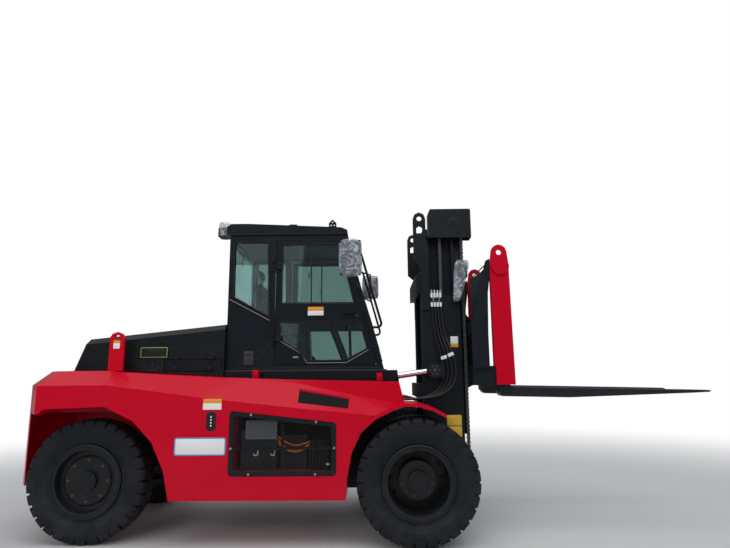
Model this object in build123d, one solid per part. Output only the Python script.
"""Heavy electric forklift truck, about the 15 t class, as separate pieces.

Frame: +X forward (the forks point there), +Y to the truck's left, +Z up, in millimetres.
Every piece is drawn with x = 0 at the front axle and is moved by FRAME_X when it is saved,
so that the origin lies on the ground under the middle of the truck's whole length.
Pieces of the right-hand side are drawn at negative y, and mirrored() gives the left-hand ones.
"""
import math
import os

from build123d import *

os.makedirs("parts", exist_ok=True)

# Whole truck
WHEELBASE = 3391
REAR_AXLE_X = -WHEELBASE
REAR_END_X = REAR_AXLE_X - 809
FORK_TIP_X = 3370
FRAME_X = -(REAR_END_X + FORK_TIP_X) / 2
AXLE_Z = 615
SKIN_GAP = 0.3
FACE_GAP = 6.0
RUN_FIT = 0.05

# Tyres and rims
TYRE_R = AXLE_Z
TYRE_W = 315
TYRE_BEAD_R = 346
TYRE_SIDES = 30
TYRE_BEAD_K = 0.72
TYRE_WIDEST_R = 475
TYRE_SHOULDER = (585, 0.94)
TYRE_TREAD_K = 0.76
LUG_NOTCH_DEPTH = 27
LUG_NOTCH_HALF = 14
LUG_NOTCH_REACH = 80
RIM_FLANGE_R = 370
RIM_T = 16
FRONT_OUT_Y = 1250
TWIN_GAP = 45
REAR_OUT_Y = 1082
SPINDLE_R = 100
REAR_SPINDLE_R = 60
HUB_R = 190

# Steering
KINGPIN_Y = 700
STEER_SWEEP_R = 745
KINGPIN_R = 40
STEER_ARM_ANGLE = 8

# Chassis
FRAME_IN_Y = 540
FRAME_OUT_Y = 562
FRAME_REAR_X = REAR_AXLE_X + 771
FRAME_BOTTOM_Z = 450
FRAME_TOP_Z = 1250
SPINE_Y = 235
SPINE_Z0 = 800
SPINE_Z1 = 1000

# Red body
BODY_Y = 1200
DECK_Y = 950
BODY_IN_Y = 715
SILL_Z = 450
SEAM_X = REAR_AXLE_X + 181
CW_TOP_Z = 1730
CW_SHOULDER_Z = 1580
CW_BOTTOM_Z = 545
POCKET_TOP_Z = 1290
BODY_FRONT_X = -109
REAR_LIFT_EYE = (REAR_AXLE_X + 156, 2090)
REAR_LIFT_Y = 897.5
REAR_LIFT_HOLE_R = 28
TOW_HALF_Y = 110
TOW_DEPTH = 150
TOW_Z0 = 660
TOW_Z1 = 800
TOW_HEAD = 90
TOW_PIN_R = 20
TAIL_Y0 = 430
TAIL_Y1 = 640
TAIL_Z0 = 1180
TAIL_Z1 = 1290
TAIL_DEPTH = 60
STEP_X0 = -1250
STEP_X1 = -850
STEP_Z0 = 560
STEP_Z1 = 1230
STEP_DEPTH = 300

# Hood
HOOD_Y = 740
HOOD_WALL = 20
HOOD_FRONT_X = -2102
FLAP_X0 = -2765
FLAP_X1 = -2130
FLAP_Z0 = 1722
FLAP_Z1 = 1848
FLAP_AXIS_Y = HOOD_Y + 12

# Cab
CAB_Y = 665
CAB_WALL = 50
CAB_REAR_X = -2100
CAB_FLOOR_Z = 1730
CAB_TOP_Z = 3290
ROOF_REAR_X = -2140
PILLAR_FOOT = (-320, 1740)
PILLAR_HEAD = (-750, 3280)
GLASS_T = 8
DOOR_T = 36
DOOR_REAR_X = -1552
DOOR_Z0 = 1790
DOOR_Z1 = 3215
DOOR_FRONT_BACK = 65
DOOR_HINGE_X = -1560
DOOR_HINGE_Y = CAB_Y + 24
HINGE_PIN_R = 7
HINGE_KNUCKLE_R = 14
CAB_BASE_Z0 = 1590
CAB_BASE_Z1 = 1706

# Mast
MAST_PIVOT = (330, 615)
MAST_PIN_R = 45
MAST_OUT_Y = 530
OUTER_WEB = 25
OUTER_FLANGE = 35
OUTER_FLANGE_IN_Y = 400
OUTER_REAR_X = 130
OUTER_FRONT_X = 580
OUTER_FOOT_Z = 240
OUTER_TOP_Z = 2575
OUTER_REAR_TOP_Z = OUTER_TOP_Z + 305
LUG_EYE = (125, OUTER_TOP_Z + 925)
LUG_T = 28
INNER_REAR_X = 180
INNER_FRONT_X = 530
INNER_FLANGE = 30
INNER_WEB_Y0 = 375
INNER_WEB_Y1 = 400
INNER_Y0 = 300
INNER_Y1 = 490
INNER_FOOT_Z = 985
INNER_TOP_Z = 3264
SHEAVE_BOX = dict(x0=235, x1=739, z0=3264, z1=3615, y0=380, y1=560, wall=20)
SHEAVE_AXIS = (500, 3445)
SHEAVE_R = 115
CHAIN_R = 130
CHAIN_T = 30
CHAIN_Y0 = 440
CHAIN_Y1 = 480
CHAIN_FRONT_Z = 760
CHAIN_REAR_Z = 2030
LIFT_X = 330
LIFT_Y = 170
LIFT_BARREL_R = 65
LIFT_ROD_R = 45
LIFT_BARREL_TOP_Z = 2450
LIFT_ROD_FOOT_Z = 1500

# Hoses on the mast
HOSE_R = 11
HOSE_TOP_Y = MAST_OUT_Y + 16
HOSE_TOP_Z = 2565

# Tilt cylinders
TILT_Y = 600
TILT_EYE = (250, 1711)
TILT_FOOT = (-950, 1540)
TILT_BARREL_R = 62
TILT_ROD_R = 32
TILT_PIN_R = 25
TILT_EYE_HOLE_R = 46
TILT_EYE_R = 66
TILT_GLAND_FROM_EYE = 415

# Carriage and forks
CARRIAGE_PLATE_Y0 = 255
CARRIAGE_PLATE_Y1 = 295
ROLLER_R = 144.5
ROLLER_ZS = (1660, 2270)
CARRIAGE_BAR_X0 = 660
CARRIAGE_BAR_X1 = 740
RED_PLATE_REAR_X = 895
RED_PLATE_Y0 = 740
RED_PLATE_Y1 = 770
FORK_SHAFT = (1010, 2863)
FORK_SHAFT_R = 50
FORK_W = 220
FORK_Y = 500
FORK_BACK_X = 960
FORK_T = 100
FORK_EYE_R = 105


# Small drawing helpers
def box(x0, x1, y0, y1, z0, z1):
    return Pos((x0 + x1) / 2, (y0 + y1) / 2, (z0 + z1) / 2) * Box(abs(x1 - x0), abs(y1 - y0), abs(z1 - z0))


def slab(points, y0, y1):
    """Outline in the XZ plane, pulled from y0 to y1."""
    low, high = min(y0, y1), max(y0, y1)
    face = make_face(Polyline(*[(x, low, z) for x, z in points], close=True))
    return extrude(face, amount=high - low, dir=(0, 1, 0))


def plan(points, z0, z1):
    """Outline in the XY plane, pulled from z0 to z1."""
    face = make_face(Polyline(*[(x, y, z0) for x, y in points], close=True))
    return extrude(face, amount=z1 - z0, dir=(0, 0, 1))


def rod_y(x, z, r, y0, y1):
    return Pos(x, (y0 + y1) / 2, z) * Rot(90, 0, 0) * Cylinder(r, abs(y1 - y0))


def rod_z(x, y, r, z0, z1):
    return Pos(x, y, (z0 + z1) / 2) * Cylinder(r, abs(z1 - z0))


def rod_x(y, z, r, x0, x1):
    return Pos((x0 + x1) / 2, y, z) * Rot(0, 90, 0) * Cylinder(r, abs(x1 - x0))


def rod_between(a, b, r):
    """Round bar from point a to point b."""
    start, end = Vector(*a), Vector(*b)
    axis = end - start
    return extrude(Plane(origin=start, z_dir=axis) * Circle(r), amount=axis.length)


def turned_y(profile, x, z):
    """Ring turned about the Y line through (x, z) from (radius, y) points."""
    face = make_face(Polyline(*[(x, y, z + r) for r, y in profile], close=True))
    return revolve(face, Axis((x, 0, z), (0, 1, 0)))


def pipe(points, bends, r):
    """Round tube along straight runs with an arc at each corner."""
    path = FilletPolyline(*points, radius=bends)
    return sweep(Plane(origin=path @ 0, z_dir=path % 0) * Circle(r), path=path)


def mirrored(shape):
    return mirror(shape, about=Plane.XZ)


def pair(shape):
    return [shape, mirrored(shape)]


def solids_of(shapes):
    found = []
    for shape in shapes if isinstance(shapes, (list, tuple)) else [shapes]:
        found += list(shape.solids())
    return found


def save(name, shapes):
    parts = [Pos(FRAME_X, 0, 0) * solid for solid in solids_of(shapes)]
    export_step(parts[0] if len(parts) == 1 else Compound(children=parts), f"parts/{name}.step")


def save_sides(name, right):
    save(f"{name}_right", right)
    save(f"{name}_left", [mirrored(s) for s in solids_of(right)])


def pillar_x(z):
    """Front plane of the cab at height z."""
    (x0, z0), (x1, z1) = PILLAR_FOOT, PILLAR_HEAD
    return x0 + (z - z0) * (x1 - x0) / (z1 - z0)


def deck_z(x):
    """Height of the red deck at station x."""
    line = [(REAR_END_X + 370, 1736), (SEAM_X, 1720), (-2085, 1652), (-1265, 1620), (-400, 1599),
            (BODY_FRONT_X, 1591)]
    for (x0, z0), (x1, z1) in zip(line, line[1:]):
        if x <= x1:
            return z0 + (x - x0) * (z1 - z0) / (x1 - x0)
    return line[-1][1]


# Wheels
def tyre_body(x, rings):
    """Ring solid with flat faces: each (y, flat_r) row is a regular polygon, with a flat on the ground side."""
    angles = [2 * math.pi * (k + 0.5) / TYRE_SIDES - math.pi / 2 for k in range(TYRE_SIDES)]
    corners = []
    for y, flat_r in rings:
        corner_r = flat_r / math.cos(math.pi / TYRE_SIDES)
        corners.append([Vector(x + corner_r * math.cos(a), y, AXLE_Z + corner_r * math.sin(a)) for a in angles])
    faces = []
    for row, next_row in zip(corners, corners[1:] + corners[:1]):
        for k in range(TYRE_SIDES):
            m = (k + 1) % TYRE_SIDES
            faces.append(Face(Wire.make_polygon([row[k], row[m], next_row[m], next_row[k]])))
    body = Solid(Shell(faces))
    return body if body.volume > 0 else -body


def tyre(outer_y, x, notched):
    """Tyre of the right-hand side whose outer face is at -outer_y; notched shoulders are -1 outside, 1 inside."""
    mid = -outer_y + TYRE_W / 2
    half = TYRE_W / 2
    outside = [(TYRE_BEAD_R, TYRE_BEAD_K), (TYRE_WIDEST_R, 1.0), TYRE_SHOULDER, (TYRE_R, TYRE_TREAD_K)]
    inside = [(TYRE_R, TYRE_TREAD_K), TYRE_SHOULDER, (TYRE_BEAD_R, TYRE_BEAD_K)]
    body = tyre_body(x, [(mid - half * k, r) for r, k in outside] + [(mid + half * k, r) for r, k in inside])
    tread = half * TYRE_TREAD_K
    corner_r = TYRE_R / math.cos(math.pi / TYRE_SIDES)
    notches = []
    for s in notched:
        y0, y1 = mid + s * (tread - LUG_NOTCH_REACH), mid + s * (half + 5)
        notch = slab([(0, corner_r - LUG_NOTCH_DEPTH), (-2 * LUG_NOTCH_HALF, corner_r + LUG_NOTCH_DEPTH),
                      (2 * LUG_NOTCH_HALF, corner_r + LUG_NOTCH_DEPTH)], y0, y1)
        for k in range(TYRE_SIDES):
            notches.append(Pos(x, 0, AXLE_Z) * Rot(0, 360 * (k + 0.5) / TYRE_SIDES, 0) * notch)
    return body - notches


def rim_ring(outer_y, x):
    """Rim barrel with a flange at both edges, seated inside its tyre."""
    y0 = -outer_y + 10
    y1 = -outer_y + TYRE_W - 10
    seat = TYRE_BEAD_R - SKIN_GAP
    slope = (1 - TYRE_BEAD_K) / (TYRE_WIDEST_R - TYRE_BEAD_R)
    edge = TYRE_W / 2 * (1 - TYRE_BEAD_K) - 10 - SKIN_GAP
    lip = TYRE_W / 2 * (1 - TYRE_BEAD_K - slope * (RIM_FLANGE_R - TYRE_BEAD_R)) - 10 - 2 * SKIN_GAP
    profile = [(RIM_FLANGE_R, y0), (RIM_FLANGE_R, y0 + lip), (seat, y0 + edge), (seat, y1 - edge),
               (RIM_FLANGE_R, y1 - lip), (RIM_FLANGE_R, y1), (seat - RIM_T - 22, y1),
               (seat - RIM_T - 34, y1 - 60), (seat - RIM_T - 34, y0 + 60), (seat - RIM_T - 22, y0)]
    return turned_y(profile, x, AXLE_Z)


def front_wheel():
    outer = FRONT_OUT_Y
    inner = FRONT_OUT_Y - TYRE_W - TWIN_GAP
    tyres = [tyre(outer, 0, (-1,)), tyre(inner, 0, (1,))]
    seat = TYRE_BEAD_R - SKIN_GAP
    bridge = turned_y([(seat - 2, -outer + TYRE_W - 12), (seat - 2, -inner + 12),
                       (seat - 40, -inner + 12), (seat - 40, -outer + TYRE_W - 12)], 0, AXLE_Z)
    disc_y = -inner + 30
    web = turned_y([(seat - 30, disc_y), (seat - 30, disc_y - 40), (0.1, disc_y - 40), (0.1, disc_y)], 0, AXLE_Z)
    drum = rod_y(0, AXLE_Z, HUB_R, disc_y - 30, disc_y - 190)
    cap = rod_y(0, AXLE_Z, 95, disc_y - 190, disc_y - 222)
    sleeve_end = -(FRONT_OUT_Y - 2 * TYRE_W - TWIN_GAP + 14)
    sleeve = rod_y(0, AXLE_Z, SPINDLE_R + 55, sleeve_end, disc_y - 10)
    hub = web + drum + cap + sleeve - rod_y(0, AXLE_Z, SPINDLE_R + RUN_FIT, sleeve_end + 1, disc_y - 12)
    rim = rim_ring(outer, 0) + rim_ring(inner, 0) + bridge + hub
    return tyres, rim


def rear_wheel():
    x = REAR_AXLE_X
    seat = TYRE_BEAD_R - SKIN_GAP
    disc_y = -REAR_OUT_Y + 82
    web = turned_y([(seat - 30, disc_y + 28), (seat - 30, disc_y + 2), (255, disc_y + 2), (235, disc_y - 12),
                    (0.1, disc_y - 12), (0.1, disc_y + 14), (235, disc_y + 14)], x, AXLE_Z)
    cap = rod_y(x, AXLE_Z, 102, disc_y - 12, disc_y - 52)
    sleeve_end = -REAR_OUT_Y + TYRE_W - 40
    sleeve = rod_y(x, AXLE_Z, REAR_SPINDLE_R + 50, sleeve_end, disc_y)
    rim = rim_ring(REAR_OUT_Y, x) + web + cap + sleeve
    rim -= rod_y(x, AXLE_Z, REAR_SPINDLE_R + RUN_FIT, sleeve_end + 1, disc_y)
    return tyre(REAR_OUT_Y, x, (-1, 1)), rim


def knuckle():
    x, z = REAR_AXLE_X, AXLE_Z
    disc_y = -REAR_OUT_Y + 82
    block = rod_z(x, -KINGPIN_Y, 72, z - 98, z + 98)
    bore = rod_z(x, -KINGPIN_Y, KINGPIN_R + RUN_FIT, z - 99, z + 99)
    spindle = rod_y(x, z, REAR_SPINDLE_R, -KINGPIN_Y - 40, disc_y + 2)
    arm = Pos(x, -KINGPIN_Y, 0) * Rot(0, 0, -STEER_ARM_ANGLE) * box(0, 210, -18, 18, z - 98, z - 60)
    return block + spindle + arm - bore


# Chassis
def steer_axle():
    x, z = REAR_AXLE_X, AXLE_Z
    yoke_in = KINGPIN_Y - 100
    beam = box(x - 90, x + 90, -yoke_in + 60, yoke_in - 60, z - 100, z + 100)
    ends = []
    for side in (-1, 1):
        neck = box(x - 60, x + 60, side * (yoke_in - 70), side * (yoke_in + 10), z - 140, z + 140)
        ends.append(neck)
        for z0, z1 in ((z + 100, z + 140), (z - 140, z - 100)):
            ends.append(box(x - 58, x + 58, side * yoke_in, side * (KINGPIN_Y + 5), z0, z1))
            ends.append(rod_z(x, side * KINGPIN_Y, 60, z0, z1))
        ends.append(rod_z(x, side * KINGPIN_Y, KINGPIN_R, z - 140, z + 140))
    trunnion = rod_x(0, z, 50, x - 170, x + 170)
    cylinder = rod_y(x + 235, z - 40, 48, -250, 250) + rod_y(x + 235, z - 40, 24, -330, 330)
    axle = beam + trunnion + cylinder
    for side in (-1, 1):
        axle += box(x + 80, x + 235, side * 140, side * 200, z - 70, z - 10)
    for end in ends:
        axle += end
    return axle


def chassis_frame():
    outline = [(FRAME_REAR_X, FRAME_BOTTOM_Z), (FRAME_REAR_X, FRAME_TOP_Z), (-1060, FRAME_TOP_Z), (-1035, 1600),
               (-865, 1600), (-840, FRAME_TOP_Z), (-650, FRAME_TOP_Z), (-200, 1020), (180, 900), (430, 720),
               (450, 615), (430, 510), (300, FRAME_BOTTOM_Z)]
    side = slab(outline, -FRAME_OUT_Y, -FRAME_IN_Y)
    side -= rod_y(0, AXLE_Z, SPINDLE_R + SKIN_GAP, -FRAME_OUT_Y - 1, -FRAME_IN_Y + 1)
    side -= rod_y(*MAST_PIVOT, MAST_PIN_R + RUN_FIT, -FRAME_OUT_Y - 1, -FRAME_IN_Y + 1)
    side += rod_y(*TILT_FOOT, TILT_PIN_R, -FRAME_OUT_Y, -TILT_Y - 34)
    outriggers = [(FRAME_REAR_X + 80, 560), (-2010, 560), (-820, 560)]
    for x, z in outriggers:
        side += box(x, x + 60, -BODY_IN_Y, -FRAME_OUT_Y, z, z + 180)
    frame = side + mirrored(side)
    cross_plates = [(FRAME_REAR_X, 60, FRAME_BOTTOM_Z, SPINE_Z1), (-1900, 40, FRAME_BOTTOM_Z, 720),
                    (-760, 40, FRAME_BOTTOM_Z, 1180)]
    for x, t, z0, z1 in cross_plates:
        frame += box(x, x + t, -FRAME_IN_Y, FRAME_IN_Y, z0, z1)
    frame += box(FRAME_REAR_X, -760, -FRAME_IN_Y, FRAME_IN_Y, FRAME_BOTTOM_Z, FRAME_BOTTOM_Z + 16)
    for x in (-2050, -560):
        for s in (-1, 1):
            frame += box(x, x + 90, s * (FRAME_IN_Y - 60), s * (FRAME_IN_Y + 1), FRAME_TOP_Z - 150, FRAME_TOP_Z)
            top = CAB_BASE_Z0 + 30 - SKIN_GAP
            frame += box(x, x + 90, s * (FRAME_IN_Y - 60), s * (FRAME_IN_Y - 16), FRAME_TOP_Z, top)
    frame += box(REAR_AXLE_X - 210, FRAME_REAR_X, -SPINE_Y, SPINE_Y, SPINE_Z0, SPINE_Z1)
    for x in (REAR_AXLE_X - 165, REAR_AXLE_X + 105):
        hanger = box(x, x + 60, -120, 120, AXLE_Z - 90, SPINE_Z0)
        frame += hanger - rod_x(0, AXLE_Z, 50 + SKIN_GAP, x - 1, x + 61)
    return frame


def drive_axle():
    y_end = FRONT_OUT_Y - TYRE_W - TWIN_GAP - 20
    axle = rod_y(0, AXLE_Z, SPINDLE_R, -y_end, y_end)
    axle += rod_y(-60, AXLE_Z, 225, -130, 130)
    for side in (-1, 1):
        cone = loft([Plane(origin=(-60, side * 130, AXLE_Z), z_dir=(0, side, 0)) * Circle(225),
                     Plane(origin=(0, side * 300, AXLE_Z), z_dir=(0, side, 0)) * Circle(SPINDLE_R)])
        axle += cone
    axle += rod_x(0, AXLE_Z + 40, 190, -700, -200)
    return axle


def battery_block():
    """Battery over the rear axle, narrow between the steered wheels, with a lower part ahead of them."""
    rest_z = SPINE_Z1 + SKIN_GAP
    rear_x, front_x = REAR_AXLE_X + 311, CAB_REAR_X - 110
    block = box(rear_x, front_x, -520, 520, POCKET_TOP_Z, 1990)
    block += box(rear_x, front_x, -290, 290, rest_z, POCKET_TOP_Z)
    return block + box(FRAME_REAR_X + 65, front_x, -520, 520, FRAME_BOTTOM_Z + 30, POCKET_TOP_Z)


def counterweight():
    corner = [(SEAM_X, -BODY_Y), (REAR_END_X + 300, -BODY_Y), (REAR_END_X, -780)]
    top_corner = [(SEAM_X, -DECK_Y), (REAR_END_X + 400, -DECK_Y), (REAR_END_X + 105, -600)]
    outline = corner + [(x, -y) for x, y in reversed(corner)]
    top = top_corner + [(x, -y) for x, y in reversed(top_corner)]
    body = plan(outline, CW_BOTTOM_Z, CW_SHOULDER_Z)
    lower = make_face(Polyline(*[(x, y, CW_SHOULDER_Z) for x, y in outline], close=True))
    upper = make_face(Polyline(*[(x, y, CW_TOP_Z) for x, y in top], close=True))
    body += loft([lower, upper], ruled=True)
    arch_rear = REAR_AXLE_X - 497
    arch = [(arch_rear, 300), (arch_rear, 1273), (arch_rear + 70, 1342), (SEAM_X + 5, 1364), (SEAM_X + 5, 300)]
    for side in (-1, 1):
        pocket = rod_z(REAR_AXLE_X, side * KINGPIN_Y, STEER_SWEEP_R, 300, POCKET_TOP_Z)
        pocket &= box(REAR_AXLE_X - 1600, REAR_AXLE_X + 1600, side * SPINE_Y, side * 1600, 200, 2000)
        body -= pocket
        body -= slab(arch, side * 820, side * 1300)
    body -= box(REAR_AXLE_X - 225, SEAM_X + 5, -SPINE_Y - 5, SPINE_Y + 5, 300, SPINE_Z1 + SKIN_GAP)
    body -= box(REAR_END_X - 1, REAR_END_X + TOW_DEPTH, -TOW_HALF_Y, TOW_HALF_Y, TOW_Z0, TOW_Z1)
    body -= rod_z(REAR_END_X + 50, 0, TOW_PIN_R + RUN_FIT, CW_BOTTOM_Z + 20, TOW_Z1 + TOW_HEAD)
    body -= box(REAR_END_X - 1, REAR_END_X + 100, -45, 45, TOW_Z1 + TOW_HEAD - 40, TOW_Z1 + TOW_HEAD + 70)
    for side in (-1, 1):
        lamp = slab([(REAR_END_X - 50, TAIL_Z0), (REAR_END_X - 50, TAIL_Z1), (REAR_END_X + TAIL_DEPTH, TAIL_Z1),
                     (REAR_END_X + TAIL_DEPTH, TAIL_Z0)], side * TAIL_Y0, side * TAIL_Y1)
        body -= lamp
    return body


def tow_pin():
    """Vertical pin across the recess at the rear, with a ring to lift it by."""
    x = REAR_END_X + 50
    top = TOW_Z1 + TOW_HEAD
    pin = rod_z(x, 0, TOW_PIN_R, CW_BOTTOM_Z + 20, top) + rod_z(x, 0, 34, top - 40 + SKIN_GAP, top - 22)
    ring = Pos(x, 0, top + 24) * Rot(90, 0, 0) * Torus(26, 6)
    return pin + ring


def tail_lamps():
    """Lamp blocks let into the rear face of the counterweight."""
    lamp = box(REAR_END_X + 8, REAR_END_X + TAIL_DEPTH - SKIN_GAP, -TAIL_Y1 + 2, -TAIL_Y0 - 2, TAIL_Z0 + SKIN_GAP, TAIL_Z1 - 2)
    return pair(lamp)


SIDE_STATIONS = [
    # station x, crease height, shoulder height
    (SEAM_X, 1716, 1585),
    (-2085, 1645, 1436),
    (-1265, 1587, 1345),
    (-400, 1408, 1258),
    (BODY_FRONT_X, 1348, 1240),
]


def side_loft():
    sections = []
    for x, crease, shoulder in SIDE_STATIONS:
        deck = deck_z(x)
        points = [(BODY_IN_Y, deck), (DECK_Y, deck), (DECK_Y + 12, crease), (BODY_Y, shoulder),
                  (BODY_Y, SILL_Z), (BODY_IN_Y, SILL_Z)]
        sections.append(make_face(Polyline(*[(x, -y, z) for y, z in points], close=True)))
    return loft(sections, ruled=True)


GRILLES = {
    # side: corners (x, z) of the grille panel; the left one is shorter, beside the steps
    "right": [(-1900, 1319), (-818, 1196), (-818, 680), (-1900, 680)],
    "left": [(-1900, 1319), (-1330, 1254), (-1330, 680), (-1900, 680)],
}
GRILLE_BARS = {
    # side: number of fields between upright bars
    "right": 6,
    "left": 3,
}
GRILLE_RAILS_Z = (800, 920, 1040, 1140)
GRILLE_CORNER_R = 40
VENT = [(-1217, 1548), (-691, 1435), (-703, 1328), (-1215, 1391)]


def inset(points, d):
    """Polygon moved inwards by d towards its centre, corner by corner."""
    cx = sum(p[0] for p in points) / len(points)
    cz = sum(p[1] for p in points) / len(points)
    return [(x - math.copysign(d, x - cx), z - math.copysign(d, z - cz)) for x, z in points]


def rounded_slab(points, r, y0, y1):
    """Outline in the XZ plane with rounded corners, pulled from y0 to y1."""
    piece = slab(points, y0, y1)
    return fillet(piece.edges().filter_by(Axis.Y), r)


def side_body(side):
    body = side_loft()
    rx = REAR_AXLE_X
    rear_arch = [(SEAM_X - 10, 300), (SEAM_X - 10, 1364), (rx + 201, 1364), (rx + 500, 1224), (rx + 707, 1012),
                 (rx + 842, 738), (rx + 906, SILL_Z - 1), (rx + 921, 300)]
    front_arch = [(-726, 300), (-726, 466), (-705, 677), (-662, 901), (-565, 1097), (-423, 1221), (-250, 1305),
                  (-124, 1340), (100, 1340), (100, 300)]
    nose = [(-166, 1800), (-166, 1593), (BODY_FRONT_X, 1365), (BODY_FRONT_X, 1200), (100, 1200), (100, 1800)]
    body -= slab(rear_arch, -1400, -600)
    body -= slab(front_arch, -1400, -600)
    body -= slab(nose, -1400, -600)
    grille = GRILLES[side]
    body -= slab(inset(grille, 45), -BODY_Y - 10, -BODY_Y + 430)
    body -= rounded_slab(grille, GRILLE_CORNER_R, -BODY_Y - 10, -BODY_Y + 14)
    body -= slab(VENT, -BODY_Y - 100, -BODY_Y + 190)
    if side == "left":
        pocket = box(STEP_X0, STEP_X1, -BODY_Y - 10, -BODY_Y + STEP_DEPTH, STEP_Z0, STEP_Z1)
        for z in (STEP_Z0 + 200, STEP_Z0 + 430):
            pocket -= box(STEP_X0, STEP_X1, -BODY_Y + 12, -BODY_Y + STEP_DEPTH, z, z + 25)
        body -= pocket
    fender = [(-600, 1120), (-423, 1262), (-250, 1345), (-124, 1386), (19, 1378), (160, 1338), (295, 1268),
              (290, 1236), (160, 1302), (19, 1344), (-124, 1350), (-250, 1308), (-423, 1224), (-570, 1097)]
    return body + slab(fender, -FRONT_OUT_Y, -700)


def grille_panel(side):
    """Frame and bars of a side grille, set into the side of the body."""
    outline = GRILLES[side]
    rim = rounded_slab(inset(outline, 2), GRILLE_CORNER_R - 2, -BODY_Y - 4, -BODY_Y + 14 - SKIN_GAP)
    rim -= slab(inset(outline, 55), -BODY_Y - 10, -BODY_Y + 20)
    field = slab(inset(outline, 54), -BODY_Y - 2, -BODY_Y + 10)
    (x0, _), (x1, _) = outline[0], outline[1]
    fields = round(GRILLE_BARS[side])
    for k in range(1, fields):
        x = x0 + k * (x1 - x0) / fields
        rim += field & box(x - 9, x + 9, -BODY_Y - 2, -BODY_Y + 10, 600, 1400)
    for z in GRILLE_RAILS_Z:
        rim += field & box(x0, x1, -BODY_Y - 2, -BODY_Y + 10, z - 7, z + 7)
    return rim


def vent_panel(body_surface):
    block = slab(inset(VENT, 2), -BODY_Y - 100, -BODY_Y + 189.5)
    return block & (Pos(0, 12, -6) * body_surface)


def power_units():
    back = -BODY_Y + 430
    z0 = GRILLES["right"][2][1] + 45 + SKIN_GAP
    table = [
        # x0, x1, depth, top, number of fins
        (-1800, -1430, 320, 1120, 0),
        (-1400, -1130, 260, 1060, 0),
        (-1100, -900, 300, 1010, 6),
    ]
    right = []
    for x0, x1, depth, top, fins in table:
        unit = box(x0, x1, back - depth, back - SKIN_GAP, z0, top)
        for k in range(round(fins)):
            unit += box(x0 + 4 + k * 34, x0 + 16 + k * 34, back - depth - 40, back - depth, z0, top - 10)
        right.append(unit)
    return right + [mirrored(right[0])]


def lifting_plates():
    """Eye plates that stand on the deck, one half on the counterweight and one half ahead of its seam."""
    x, z = REAR_LIFT_EYE
    foot = CW_TOP_Z + 0.2
    outline = [(x - 80, foot), (x - 80, z), (x - 55, z + 40), (x, z + 60), (x + 55, z + 40), (x + 80, z), (x + 80, foot)]
    plate = slab(outline, -REAR_LIFT_Y - 17.5, -REAR_LIFT_Y + 17.5)
    return plate - rod_y(x, z, REAR_LIFT_HOLE_R, -REAR_LIFT_Y - 30, -REAR_LIFT_Y + 30)


def battery_hood():
    z_low = CW_TOP_Z + SKIN_GAP
    foot_x, top_x, top_z = REAR_END_X + 425, REAR_END_X + 560, 2085
    side = [(foot_x, z_low), (top_x, top_z), (HOOD_FRONT_X, 2240), (HOOD_FRONT_X, deck_z(HOOD_FRONT_X) + 2),
            (SEAM_X, z_low)]
    outer = slab(side, -HOOD_Y, HOOD_Y)
    wedge = [(HOOD_Y - 60, 0), (HOOD_Y + 20, 0), (HOOD_Y + 20, -80)]
    for s in (-1, 1):
        start = make_face(Polyline(*[(top_x - 60, s * y, top_z - 3 + dz) for y, dz in wedge], close=True))
        end = make_face(Polyline(*[(HOOD_FRONT_X + 10, s * y, 2242 + dz) for y, dz in wedge], close=True))
        outer -= loft([start, end], ruled=True)
    w = HOOD_WALL
    hollow = [(foot_x + 1.3 * w, 1600), (foot_x + 1.3 * w + 4, z_low), (top_x + w, top_z - w),
              (HOOD_FRONT_X - w, 2240 - w - 60), (HOOD_FRONT_X - w, 1600)]
    hood = outer - slab(hollow, -HOOD_Y + w + 45, HOOD_Y - w - 45)
    low = [(foot_x + 35 + w, 1600), (foot_x + 35 + w, 1990), (HOOD_FRONT_X - w, 2110), (HOOD_FRONT_X - w, 1600)]
    hood -= slab(low, -HOOD_Y + w, HOOD_Y - w)
    g = FACE_GAP
    for s in (-1, 1):
        hood -= box(FLAP_X0 - g, FLAP_X1 + g, s * (HOOD_Y - w - 5), s * (HOOD_Y + 5), FLAP_Z0 - g, FLAP_Z1 + g)
        for x in (FLAP_X0 + 120, FLAP_X1 - 120):
            ear = box(x - 45, x - 22, s * HOOD_Y, s * (FLAP_AXIS_Y + 6), FLAP_Z1 + g, FLAP_Z1 + g + 30)
            ear += box(x + 22, x + 45, s * HOOD_Y, s * (FLAP_AXIS_Y + 6), FLAP_Z1 + g, FLAP_Z1 + g + 30)
            hood += ear + rod_x(s * FLAP_AXIS_Y, FLAP_Z1 + 16, 5, x - 45, x + 45)
    return hood


def hood_flap():
    y_out = -HOOD_Y
    flap = box(FLAP_X0, FLAP_X1, y_out, y_out + HOOD_WALL - 2, FLAP_Z0, FLAP_Z1)
    for x in (FLAP_X0 + 120, FLAP_X1 - 120):
        strap = box(x - 21, x + 21, y_out - 5, y_out, FLAP_Z1 - 40, FLAP_Z1 + 16)
        strap += rod_x(-FLAP_AXIS_Y, FLAP_Z1 + 16, 9, x - 21, x + 21)
        flap += strap
    for x in (FLAP_X0 + 120, FLAP_X1 - 120):
        flap -= rod_x(-FLAP_AXIS_Y, FLAP_Z1 + 16, 5 + RUN_FIT, x - 30, x + 30)
    return flap


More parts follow.
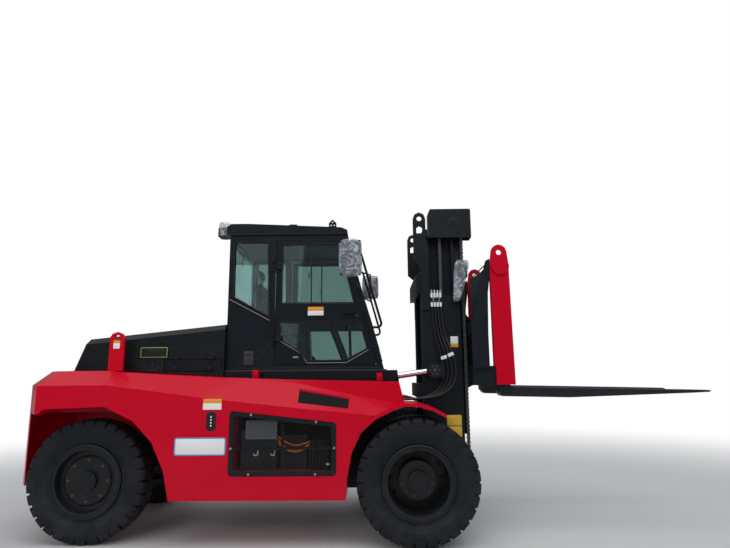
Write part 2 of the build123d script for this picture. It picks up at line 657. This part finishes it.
def cab_base():
    base = box(CAB_REAR_X, -350, -500, 500, CAB_BASE_Z0 + 30, CAB_BASE_Z1)
    base += box(CAB_REAR_X, -290, -700, 700, CAB_BASE_Z1, CAB_FLOOR_Z - SKIN_GAP)
    base += box(CAB_REAR_X, -1150, -690, 690, CAB_BASE_Z0 + 70, CAB_BASE_Z1)
    for s in (-1, 1):
        skirt = slab([(CAB_REAR_X, CAB_BASE_Z0), (-200, CAB_BASE_Z0), (-174, CAB_BASE_Z0 + 40), (-174, CAB_BASE_Z1),
                      (-190, CAB_FLOOR_Z - 12), (CAB_REAR_X, CAB_FLOOR_Z - 12)], s * 690, s * 712)
        base += skirt
    return base


def cab_mounts():
    """Mount blocks on the deck beside the cab base, each between two lugs."""
    blocks = []
    for x in (-400, -1760):
        z = deck_z(x - 26) + SKIN_GAP
        block = box(x, x + 58, -800, -716, z, z + 88)
        block += box(x - 26, x, -788, -728, z, z + 66) + box(x + 58, x + 84, -788, -728, z, z + 66)
        block += rod_x(-758, z + 44, 12, x - 40, x + 98)
        blocks.append(block)
    return blocks


# Cab
def cab_outline(inward=0):
    d = inward
    return [(CAB_REAR_X + d, CAB_FLOOR_Z + d), (CAB_REAR_X + d, CAB_TOP_Z - d),
            (PILLAR_HEAD[0] - d, CAB_TOP_Z - d), (pillar_x(3240) - d * 1.04, 3240 - d),
            (pillar_x(CAB_FLOOR_Z + d) - d * 1.04, CAB_FLOOR_Z + d)]


def door_outline(grow=0):
    g = grow
    z0, z1 = DOOR_Z0 - g, DOOR_Z1 + g
    back = DOOR_FRONT_BACK - g
    return [(DOOR_REAR_X - g, z0), (DOOR_REAR_X - g, z1), (pillar_x(z1) - back, z1), (pillar_x(z0) - back, z0)]


QUARTER_WINDOW = [(-2040, 3205), (-1650, 3205), (-1625, 2330), (-2040, 2560)]
UPPER_WINDOW = [(-1482, 3172), (-832, 3172), (-648, 2470), (-1482, 2470)]
LOWER_WINDOW = [(-1500, 2262), (-588, 2262), (-506, 1960), (-750, 1830), (-1190, 1830), (-1260, 1920), (-1500, 2075)]
REAR_WINDOW = dict(y=540, z0=2330, z1=3190)


def cab_shell():
    shell = slab(cab_outline(), -CAB_Y, CAB_Y)
    shell -= slab(cab_outline(CAB_WALL), -CAB_Y + CAB_WALL, CAB_Y - CAB_WALL)
    for s in (-1, 1):
        shell -= slab(door_outline(FACE_GAP), s * (CAB_Y - CAB_WALL - 1), s * (CAB_Y + 1))
        shell -= slab(QUARTER_WINDOW, s * (CAB_Y - CAB_WALL - 1), s * (CAB_Y + 1))
    screen = [(pillar_x(3190) + 90, 3190), (pillar_x(3190) - 130, 3190), (pillar_x(1850) - 130, 1850),
              (pillar_x(1850) + 90, 1850)]
    shell -= slab(screen, -CAB_Y + 75, CAB_Y - 75)
    shell -= box(CAB_REAR_X - 5, CAB_REAR_X + CAB_WALL + 5, -REAR_WINDOW["y"], REAR_WINDOW["y"],
                 REAR_WINDOW["z0"], REAR_WINDOW["z1"])
    for s in (-1, 1):
        for z0, z1 in ((2020, 2145), (2850, 2990)):
            for a, b in ((z0, z0 + 26), (z1 - 26, z1)):
                shell += box(DOOR_HINGE_X - 46, DOOR_HINGE_X, s * (CAB_Y - 4), s * (DOOR_HINGE_Y + 10), a, b)
            shell += rod_z(DOOR_HINGE_X, s * DOOR_HINGE_Y, HINGE_PIN_R, z0, z1)
    return shell


def cab_roof():
    outline = [(ROOF_REAR_X, CAB_TOP_Z + SKIN_GAP), (ROOF_REAR_X, 3390), (-2090, 3425), (-1900, 3425),
               (-800, 3372), (-728, 3340), (-728, CAB_TOP_Z + SKIN_GAP)]
    roof = slab(outline, -CAB_Y - 12, CAB_Y + 12)
    for s in (-1, 1):
        lug = slab([(-960, 3370), (-955, 3470), (-912, 3512), (-866, 3470), (-862, 3370)], s * 500, s * 516)
        for x, z in ((-912, 3478), (-930, 3440), (-892, 3440)):
            lug -= rod_y(x, z, 9, s * 490, s * 530)
        roof += lug
        roof += box(-1420, -1330, s * 560, s * 600, 3385, 3432)
    return roof


def cab_glass():
    """Windscreen, rear pane and the two quarter panes."""
    g = 2
    d = 25
    screen = [(pillar_x(3190 - g) - d, 3190 - g), (pillar_x(3190 - g) - d - GLASS_T, 3190 - g),
              (pillar_x(1850 + g) - d - GLASS_T, 1850 + g), (pillar_x(1850 + g) - d, 1850 + g)]
    panes = [slab(screen, -CAB_Y + 75 + SKIN_GAP, CAB_Y - 75 - SKIN_GAP)]
    e = SKIN_GAP
    panes.append(box(CAB_REAR_X + 20, CAB_REAR_X + 20 + GLASS_T, -REAR_WINDOW["y"] + e, REAR_WINDOW["y"] - e,
                     REAR_WINDOW["z0"] + e, REAR_WINDOW["z1"] - e))
    quarter = slab([(x + (e if x < -1800 else -e), z + (e if z < 2700 else -e)) for x, z in QUARTER_WINDOW],
                   -CAB_Y + 14, -CAB_Y + 14 + GLASS_T)
    panes += pair(quarter)
    return panes


def door():
    frame = slab(door_outline(), -CAB_Y, -CAB_Y + DOOR_T)
    for window in (UPPER_WINDOW, LOWER_WINDOW):
        frame -= slab(window, -CAB_Y - 1, -CAB_Y + DOOR_T + 1)
    frame += box(-790, -640, -CAB_Y - 34, -CAB_Y - 14, 2356, 2384)
    for x in (-782, -662):
        frame += box(x, x + 14, -CAB_Y - 20, -CAB_Y + 4, 2358, 2382)
    for z0, z1 in ((2020, 2145), (2850, 2990)):
        strap = box(DOOR_HINGE_X, DOOR_HINGE_X + 90, -DOOR_HINGE_Y - 6, -DOOR_HINGE_Y + 4, z0 + 28, z1 - 28)
        strap += box(DOOR_HINGE_X + 20, DOOR_HINGE_X + 90, -DOOR_HINGE_Y, -CAB_Y + 4, z0 + 28, z1 - 28)
        strap += rod_z(DOOR_HINGE_X, -DOOR_HINGE_Y, HINGE_KNUCKLE_R, z0 + 28, z1 - 28)
        frame += strap
    for z0, z1 in ((2020, 2145), (2850, 2990)):
        frame -= rod_z(DOOR_HINGE_X, -DOOR_HINGE_Y, HINGE_PIN_R + RUN_FIT, z0, z1)
    return frame


def door_glass():
    panes = []
    for window in (UPPER_WINDOW, LOWER_WINDOW):
        cx = sum(p[0] for p in window) / len(window)
        cz = sum(p[1] for p in window) / len(window)
        shrunk = [(cx + (x - cx) * 0.9992, cz + (z - cz) * 0.9992) for x, z in window]
        panes.append(slab(shrunk, -CAB_Y + 12, -CAB_Y + 12 + GLASS_T))
    return panes


def seat():
    z = CAB_FLOOR_Z + CAB_WALL
    base = box(-1760, -1340, -190, 190, z, z + 300)
    cushion = box(-1800, -1270, -250, 250, z + 300, z + 420)
    back = slab([(-1800, z + 420), (-1680, z + 420), (-1790, z + 1050), (-1880, z + 1050)], -240, 240)
    head = slab([(-1875, z + 1050), (-1795, z + 1050), (-1825, z + 1210), (-1890, z + 1210)], -130, 130)
    arms = [box(-1760, -1380, s * 262, s * 330, z + 560, z + 620) + box(-1740, -1690, s * 240, s * 300, z + 400, z + 600)
            for s in (-1, 1)]
    return base + cushion + back + head + arms[0] + arms[1]


def steering():
    z = CAB_FLOOR_Z + CAB_WALL
    foot, head = (-760, 0, z), (-1010, 0, z + 640)
    axis = (Vector(*head) - Vector(*foot)).normalized()
    column = rod_between(tuple(Vector(*foot) + axis * 40), head, 45)
    centre = Vector(*head) + axis * 20
    rim = Plane(origin=centre, z_dir=axis) * Torus(185, 16)
    hub = extrude(Plane(origin=Vector(*head) - axis * 10, z_dir=axis) * Circle(38), amount=40)
    spoke = Plane(origin=centre, z_dir=axis) * (Box(360, 26, 12) + Box(26, 360, 12))
    base = box(-860, -660, -130, 130, z, z + 60)
    return column + rim + hub + spoke + base


def cab_console():
    z = CAB_FLOOR_Z + CAB_WALL
    right = slab([(-1760, z), (-1760, z + 500), (-1280, z + 560), (-1180, z + 520), (-1150, z)], -600, -400)
    display = Pos(-720, -430, z + 560) * Rot(0, -20, 20) * Box(30, 230, 170)
    stand = rod_between((-700, -430, z + 5), (-716, -430, z + 540), 16) + box(-730, -670, -460, -400, z, z + 12)
    levers = [rod_between((-1300 - k * 80, -500, z + 510), (-1290 - k * 80, -500, z + 640), 9) for k in range(4)]
    console = right
    for lever in levers:
        console += lever
    return [console, display + stand]


def grab_rails():
    """Bent tube in front of each front pillar, with its two ends turned back into the pillar."""
    y = CAB_Y - 30
    z0, z1 = 2200, 3080
    off = 120
    r = 14
    seat_gap = r * 0.28 + SKIN_GAP
    points = [(pillar_x(z0) + seat_gap, -y, z0), (pillar_x(z0) + off, -y, z0),
              (pillar_x(z1) + off, -y, z1), (pillar_x(z1) + seat_gap, -y, z1)]
    return pair(pipe(points, [45, 45], r))


def mirror_set():
    """Mirror heads on their two-armed brackets; the two sides stand at different stations."""
    table = [
        # side, head x0, head x1, bar x, head z0, head z1
        (-1, -780, -560, -645, 2705, 3078),
        (1, -580, -362, -470, 2785, 3110),
    ]
    sets = []
    for s, x0, x1, bar_x, z0, z1 in table:
        head = box(x0, x1, s * 1182, s * 1238, z0, z1)
        low, high = z0 - 60, z1 + 30
        bar = rod_z(bar_x, s * 1160, 11, low, high)
        arm_low = rod_between((pillar_x(low) - 22, s * (CAB_Y + 8), low + 12), (bar_x, s * 1160, low + 12), 11)
        arm_high = rod_between((pillar_x(high) - 22, s * (CAB_Y + 8), high - 12), (bar_x, s * 1160, high - 12), 11)
        clamp = box(bar_x - 20, bar_x + 20, s * 1150, s * 1184, (z0 + z1) / 2 - 40, (z0 + z1) / 2 + 40)
        pads = [box(pillar_x(z) - 50, pillar_x(z) + 2, s * CAB_Y, s * (CAB_Y + 10), z - 22, z + 22)
                for z in (low + 12, high - 12)]
        sets.append(head + bar + arm_low + arm_high + clamp + pads[0] + pads[1])
    return sets


def work_lamps():
    """Rear roof lamps; each stands on a foot at the back of the roof."""
    lamp = box(-2270, -2160, -560, -420, 3300, 3420)
    foot = box(-2170, ROOF_REAR_X - SKIN_GAP, -520, -460, 3330, 3380)
    return pair(lamp + foot)


# Mast
def channel(x0, x1, web_y0, web_y1, flange_y0, flange_y1, flange, z0, z1):
    piece = box(x0, x1, -web_y1, -web_y0, z0, z1)
    piece += box(x0, x0 + flange, -flange_y1, -flange_y0, z0, z1)
    return piece + box(x1 - flange, x1, -flange_y1, -flange_y0, z0, z1)


def outer_mast():
    web_in = MAST_OUT_Y - OUTER_WEB
    side = channel(OUTER_REAR_X, OUTER_FRONT_X, web_in, MAST_OUT_Y, OUTER_FLANGE_IN_Y, MAST_OUT_Y, OUTER_FLANGE,
                   OUTER_FOOT_Z, OUTER_TOP_Z)
    side += box(OUTER_REAR_X, OUTER_REAR_X + OUTER_FLANGE, -MAST_OUT_Y, -OUTER_FLANGE_IN_Y, OUTER_TOP_Z, OUTER_REAR_TOP_Z)
    x, z = LUG_EYE
    lug = [(x - 75, z - 500), (x - 75, z), (x - 53, z + 54), (x, z + 77), (x + 53, z + 54), (x + 75, z),
           (x + 75, z - 260), (x + 103, z - 320), (x + 103, z - 1100), (OUTER_REAR_X, z - 1100), (OUTER_REAR_X, z - 570)]
    plate = slab(lug, -MAST_OUT_Y - LUG_T, -MAST_OUT_Y)
    plate -= rod_y(x, z, 30, -MAST_OUT_Y - 30, -MAST_OUT_Y + 5)
    plate -= slab([(x - 35, z - 180), (x - 35, z - 115), (x, z - 90), (x + 35, z - 115), (x + 35, z - 180)],
                  -MAST_OUT_Y - 30, -MAST_OUT_Y + 5)
    side += plate
    side += rod_y(*MAST_PIVOT, MAST_PIN_R, -FRAME_OUT_Y, -MAST_OUT_Y + 1)
    side += box(350, 390, -MAST_OUT_Y + OUTER_WEB - 1, -CHAIN_Y1 - 7, OUTER_TOP_Z - 195, OUTER_TOP_Z - 95)
    mast = side + mirrored(side)
    cross = [
        # x0, x1, z0, z1
        (OUTER_REAR_X, INNER_REAR_X - 8, OUTER_FOOT_Z, 400),
        (70, OUTER_REAR_X, 1400, 1560),
        (70, OUTER_REAR_X, OUTER_TOP_Z + 45, OUTER_TOP_Z + 245),
    ]
    for x0, x1, z0, z1 in cross:
        mast += box(x0, x1, -MAST_OUT_Y, MAST_OUT_Y, z0, z1)
    for s in (-1, 1):
        mast += box(INNER_REAR_X - 10, LIFT_X + 70, s * (LIFT_Y - 70), s * (LIFT_Y + 70), 280, 340)
    return mast


def tilt_clevises():
    """Forked brackets on the outer channels, each with the pin that its tilt cylinder pushes on."""
    x, z = TILT_EYE
    face = -MAST_OUT_Y - SKIN_GAP
    bracket = rod_y(x, z, 92, -MAST_OUT_Y - LUG_T, face) + rod_y(x, z, 92, -TILT_Y - 62, -TILT_Y - 40)
    bracket += box(x + 78, x + 112, -TILT_Y - 62, face, z - 80, z + 80)
    bracket += box(x, x + 100, -TILT_Y - 62, -TILT_Y - 40, z - 80, z + 80)
    bracket += rod_y(x, z, TILT_PIN_R, -TILT_Y - 62, face)
    return pair(bracket)


def lift_cylinders():
    barrel = rod_z(LIFT_X, -LIFT_Y, LIFT_BARREL_R, 340, LIFT_BARREL_TOP_Z)
    barrel -= rod_z(LIFT_X, -LIFT_Y, LIFT_BARREL_R - 12, 420, LIFT_BARREL_TOP_Z - 70)
    barrel -= rod_z(LIFT_X, -LIFT_Y, LIFT_ROD_R + RUN_FIT, LIFT_BARREL_TOP_Z - 71, LIFT_BARREL_TOP_Z + 1)
    return pair(barrel)


def lift_rods():
    return pair(rod_z(LIFT_X, -LIFT_Y, LIFT_ROD_R, LIFT_ROD_FOOT_Z, SHEAVE_BOX["z0"] + 6))


HOSES = [
    # x at the top, forward swing at the clevis, y at the low end
    (250, 150, 590),
    (284, 158, 616),
    (318, 166, 642),
    (352, 174, 668),
]


def mast_hoses():
    """Four hoses on the outer face of the mast, turning back under the tilt cylinder to the chassis."""
    hoses = []
    for x, swing, y_low in HOSES:
        y_mid = y_low + 4
        points = [(x, -HOSE_TOP_Y, HOSE_TOP_Z), (x, -HOSE_TOP_Y, 2200), (x + swing * 0.75, -y_mid, 1890),
                  (x + swing, -y_mid, 1700), (x + swing * 0.6, -y_mid, 1530), (x - 60, -y_low, 1425),
                  (-20, -y_low, 1392), (-150, -y_low, 1398)]
        hoses.append(pipe(points, [300, 300, 160, 150, 150, 200], HOSE_R))
    return hoses


def hose_clamps():
    block = box(234, 368, -HOSE_TOP_Y - HOSE_R - 5, -MAST_OUT_Y - SKIN_GAP, HOSE_TOP_Z - 70, HOSE_TOP_Z - 20)
    for x, _, _ in HOSES:
        block -= rod_z(x, -HOSE_TOP_Y, HOSE_R + SKIN_GAP, 2200, HOSE_TOP_Z + 1)
    return block


def mast_lamps():
    """Front work lamps on a post that rises from the outer mast's side."""
    bracket = box(505, 565, -640, -MAST_OUT_Y, 2490, 2560)
    post = rod_z(590, -618, 14, 2500, 2900) + box(560, 600, -632, -604, 2500, 2550)
    head = box(548, 650, -660, -580, 2760, 2960)
    return pair(bracket + post + head)


def inner_mast():
    side = channel(INNER_REAR_X, INNER_FRONT_X, INNER_WEB_Y0, INNER_WEB_Y1, INNER_Y0, INNER_Y1, INNER_FLANGE,
                   INNER_FOOT_Z, INNER_TOP_Z)
    b = SHEAVE_BOX
    c = 45
    outline = [(b["x0"], b["z0"]), (b["x0"], b["z1"] - c), (b["x0"] + c / 2, b["z1"]), (b["x1"] - c / 3, b["z1"]),
               (b["x1"], b["z1"] - c / 3), (b["x1"], b["z0"])]
    shell = slab(outline, -b["y1"], -b["y0"])
    inner = [(x + (b["wall"] if x < 500 else -b["wall"]), z - (b["wall"] if z > b["z0"] else 5)) for x, z in outline]
    shell -= slab(inner, -b["y1"] + b["wall"], -b["y0"] - b["wall"])
    shell += box(INNER_REAR_X, INNER_FRONT_X, -b["y0"] - b["wall"], -INNER_Y0, b["z0"], b["z0"] + 60)
    side += shell
    side += rod_y(530, SHEAVE_AXIS[1], 34, -b["y1"] - 14, -b["y1"] + 1)
    mast = side + mirrored(side)
    mast += box(290, 470, -b["y0"] - 2, b["y0"] + 2, b["z0"] + 6, b["z0"] + 160)
    for z0, z1 in ((1105, 1255), (3040, 3190)):
        mast += box(INNER_REAR_X + 5, INNER_REAR_X + 55, -INNER_Y0 - 2, INNER_Y0 + 2, z0, z1)
    return mast


def chain_sheaves():
    x, z = SHEAVE_AXIS
    b = SHEAVE_BOX
    sheave = rod_y(x, z, SHEAVE_R - SKIN_GAP, -CHAIN_Y1 - 6, -CHAIN_Y0 + 6)
    sheave += rod_y(x, z, 30, -b["y1"] + b["wall"], -b["y0"] - b["wall"])
    return pair(sheave)


def lift_chains():
    """Leaf chain over its sheave: a half ring and two straight runs."""
    x, z = SHEAVE_AXIS
    r0, r1 = CHAIN_R - CHAIN_T / 2, CHAIN_R + CHAIN_T / 2
    ring = rod_y(x, z, r1, -CHAIN_Y1, -CHAIN_Y0) - rod_y(x, z, r0, -CHAIN_Y1 - 1, -CHAIN_Y0 + 1)
    ring &= box(x - 300, x + 300, -600, 0, z, z + 300)
    front = box(x + r0, x + r1, -CHAIN_Y1, -CHAIN_Y0, CHAIN_FRONT_Z, z)
    rear = box(x - r1, x - r0, -CHAIN_Y1, -CHAIN_Y0, CHAIN_REAR_Z, z)
    return pair(ring + front + rear)


# Tilt cylinders
def tilt_axis():
    (x0, z0), (x1, z1) = TILT_FOOT, TILT_EYE
    length = math.hypot(x1 - x0, z1 - z0)
    return (x1 - x0) / length, (z1 - z0) / length, length


def tilt_barrel():
    ux, uz, length = tilt_axis()
    x0, z0 = TILT_FOOT
    start, gland = 112, length - TILT_GLAND_FROM_EYE
    at = lambda d: (x0 + ux * d, -TILT_Y, z0 + uz * d)
    barrel = rod_between(at(start), at(gland), TILT_BARREL_R)
    barrel += rod_between(at(gland - 60), at(gland), TILT_BARREL_R + 8) + rod_between(at(30), at(start + 5), 26)
    eye = rod_y(x0, z0, 48, -TILT_Y - 28, -TILT_Y + 28)
    barrel += eye
    barrel -= rod_y(x0, z0, TILT_PIN_R + RUN_FIT, -TILT_Y - 40, -TILT_Y + 40)
    barrel -= rod_between(at(start + 40), at(gland - 50), TILT_BARREL_R - 10)
    return barrel - rod_between(at(gland - 51), at(gland + 1), TILT_ROD_R + RUN_FIT)


def tilt_rod():
    ux, uz, length = tilt_axis()
    x0, z0 = TILT_FOOT
    at = lambda d: (x0 + ux * d, -TILT_Y, z0 + uz * d)
    rod = rod_between(at(length - 780), at(length - 55), TILT_ROD_R)
    eye = rod_y(*TILT_EYE, TILT_EYE_R, -TILT_Y - 25, -TILT_Y + 25)
    neck = rod_between(at(length - 130), at(length - 55), TILT_ROD_R + 2)
    return rod + neck + eye - rod_y(*TILT_EYE, TILT_EYE_HOLE_R, -TILT_Y - 30, -TILT_Y + 30)


# Carriage and forks
def carriage_frame():
    side = slab([(245, 1500), (245, 2410), (CARRIAGE_BAR_X0, 2410), (CARRIAGE_BAR_X1, 2300), (CARRIAGE_BAR_X1, 1540),
                 (CARRIAGE_BAR_X0, 1500)], -CARRIAGE_PLATE_Y1, -CARRIAGE_PLATE_Y0)
    for z in ROLLER_ZS:
        side += rod_y((INNER_REAR_X + INNER_FRONT_X) / 2, z, ROLLER_R, -INNER_WEB_Y0 + 8, -INNER_Y0 - 7)
        side += rod_y((INNER_REAR_X + INNER_FRONT_X) / 2, z, 50, -INNER_Y0 - 8, -CARRIAGE_PLATE_Y0)
    plate_x = RED_PLATE_REAR_X - SKIN_GAP
    arm = [(CARRIAGE_BAR_X0, 1735), (CARRIAGE_BAR_X0, 2250), (850, 2935), (plate_x, 2960), (plate_x, 2800),
           (860, 2560), (845, 2105), (845, 1735)]
    side += slab(arm, -RED_PLATE_Y1, -RED_PLATE_Y0)
    side += box(CARRIAGE_BAR_X0 + 20, FORK_BACK_X - 10, -RED_PLATE_Y0, -RED_PLATE_Y0 + 60, 1545, 1755)
    side += box(CARRIAGE_BAR_X0 - 10, CARRIAGE_BAR_X0 + 1, -CHAIN_Y1 - 12, -CHAIN_Y0 + 12, 1560, 1700)
    frame = side + mirrored(side)
    frame += box(CARRIAGE_BAR_X0, CARRIAGE_BAR_X1, -RED_PLATE_Y0, RED_PLATE_Y0, 2105, 2250)
    frame += box(CARRIAGE_BAR_X0, CARRIAGE_BAR_X1 + 20, -RED_PLATE_Y0, RED_PLATE_Y0, 1545, 1755)
    frame += box(CARRIAGE_BAR_X1, FORK_BACK_X - 5, -660, 660, 1575, 1725)
    return frame


def carriage_plates():
    """Red side plates that hold the two ends of the fork shaft."""
    top = 3031
    r = 90
    cx = RED_PLATE_REAR_X + 109
    arc = [(cx + r * math.cos(math.radians(a)), top + r * math.sin(math.radians(a))) for a in range(0, 181, 20)]
    outline = arc + [(cx - 109, 2900), (cx - 109, 1752), (cx - 92, 1752), (cx - 92, 1550), (1118, 1550), (1108, 2900)]
    plate = slab(outline, -RED_PLATE_Y1, -RED_PLATE_Y0)
    plate -= rod_y(cx, top, 30, -RED_PLATE_Y1 - 1, -RED_PLATE_Y0 + 1)
    plate -= rod_y(*FORK_SHAFT, FORK_SHAFT_R + SKIN_GAP, -RED_PLATE_Y1 - 1, -RED_PLATE_Y0 + 1)
    return pair(plate)


def fork_shaft():
    shaft = rod_y(*FORK_SHAFT, FORK_SHAFT_R, -RED_PLATE_Y1, RED_PLATE_Y1)
    for s in (-1, 1):
        shaft += rod_y(*FORK_SHAFT, 98, s * (RED_PLATE_Y1 + SKIN_GAP), s * (RED_PLATE_Y1 + 15))
        shaft += rod_y(*FORK_SHAFT, FORK_SHAFT_R, s * RED_PLATE_Y1 - s, s * (RED_PLATE_Y1 + 2))
    return shaft


def fork():
    x = FORK_BACK_X
    z_top, z_bottom = 1524, 1420
    outline = [(x, 1470), (x + 45, z_bottom), (1750, 1402), (2830, 1436), (FORK_TIP_X - 20, 1450), (FORK_TIP_X, 1462),
               (FORK_TIP_X - 37, 1472), (x + FORK_T + 70, z_top), (x + FORK_T, z_top + 45), (x + FORK_T, 2880),
               (x, 2880)]
    y0, y1 = -FORK_Y - FORK_W / 2, -FORK_Y + FORK_W / 2
    blade = slab(outline, y0, y1)
    blade += rod_y(*FORK_SHAFT, FORK_EYE_R, y0, y1)
    tip_cut = plan([(FORK_TIP_X + 5, y0 - 5), (FORK_TIP_X - 260, y0 - 5), (FORK_TIP_X + 5, y0 + 75)], 1300, 1700)
    blade -= tip_cut
    blade -= Pos(0, -2 * FORK_Y, 0) * mirrored(tip_cut)
    return blade - rod_y(*FORK_SHAFT, FORK_SHAFT_R + RUN_FIT, y0 - 1, y1 + 1)


# Save every piece
surface = side_loft()
sides = [side_body("right"), mirrored(side_body("left"))]
tyres, rim = front_wheel()
rear_tyre, rear_rim = rear_wheel()
vent = vent_panel(surface)

save("chassis_frame", chassis_frame())
save("drive_axle", drive_axle())
save("steer_axle", steer_axle())
save("battery_block", battery_block())
save("counterweight", counterweight())
save("side_bodies", sides)
save("side_grilles", [grille_panel("right"), mirrored(grille_panel("left"))])
save("side_vents", pair(vent))
save("power_units", power_units())
save("lifting_plates", pair(lifting_plates()))
save("battery_hood", battery_hood())
save_sides("hood_flap", hood_flap())
save("cab_base", cab_base())
save("cab_mounts", [unit for block in cab_mounts() for unit in pair(block)])
save("cab_shell", cab_shell())
save("cab_roof", cab_roof())
save("cab_glass", cab_glass())
save_sides("door", door())
save_sides("door_glass", door_glass())
save("seat", seat())
save("steering_column", steering())
save("cab_console", cab_console())
save("grab_rails", grab_rails())
save("mirrors", mirror_set())
save("roof_lamps", work_lamps())
save_sides("knuckle", knuckle())
save_sides("rear_tyre", rear_tyre)
save_sides("rear_rim", rear_rim)
save_sides("front_tyres", tyres)
save_sides("front_rims", rim)
save("tow_pin", tow_pin())
save("tail_lamps", tail_lamps())
save("outer_mast", outer_mast())
save("tilt_clevises", tilt_clevises())
save("lift_cylinders", lift_cylinders())
save("mast_hoses", mast_hoses())
save("hose_clamps", hose_clamps())
save("mast_lamps", mast_lamps())
save("inner_mast", inner_mast())
save("chain_sheaves", chain_sheaves())
save("lift_chains", lift_chains())
save("lift_rods", lift_rods())
save_sides("tilt_barrel", tilt_barrel())
save_sides("tilt_rod", tilt_rod())
save("carriage_frame", carriage_frame())
save("carriage_plates", carriage_plates())
save("fork_shaft", fork_shaft())
save_sides("fork", fork())
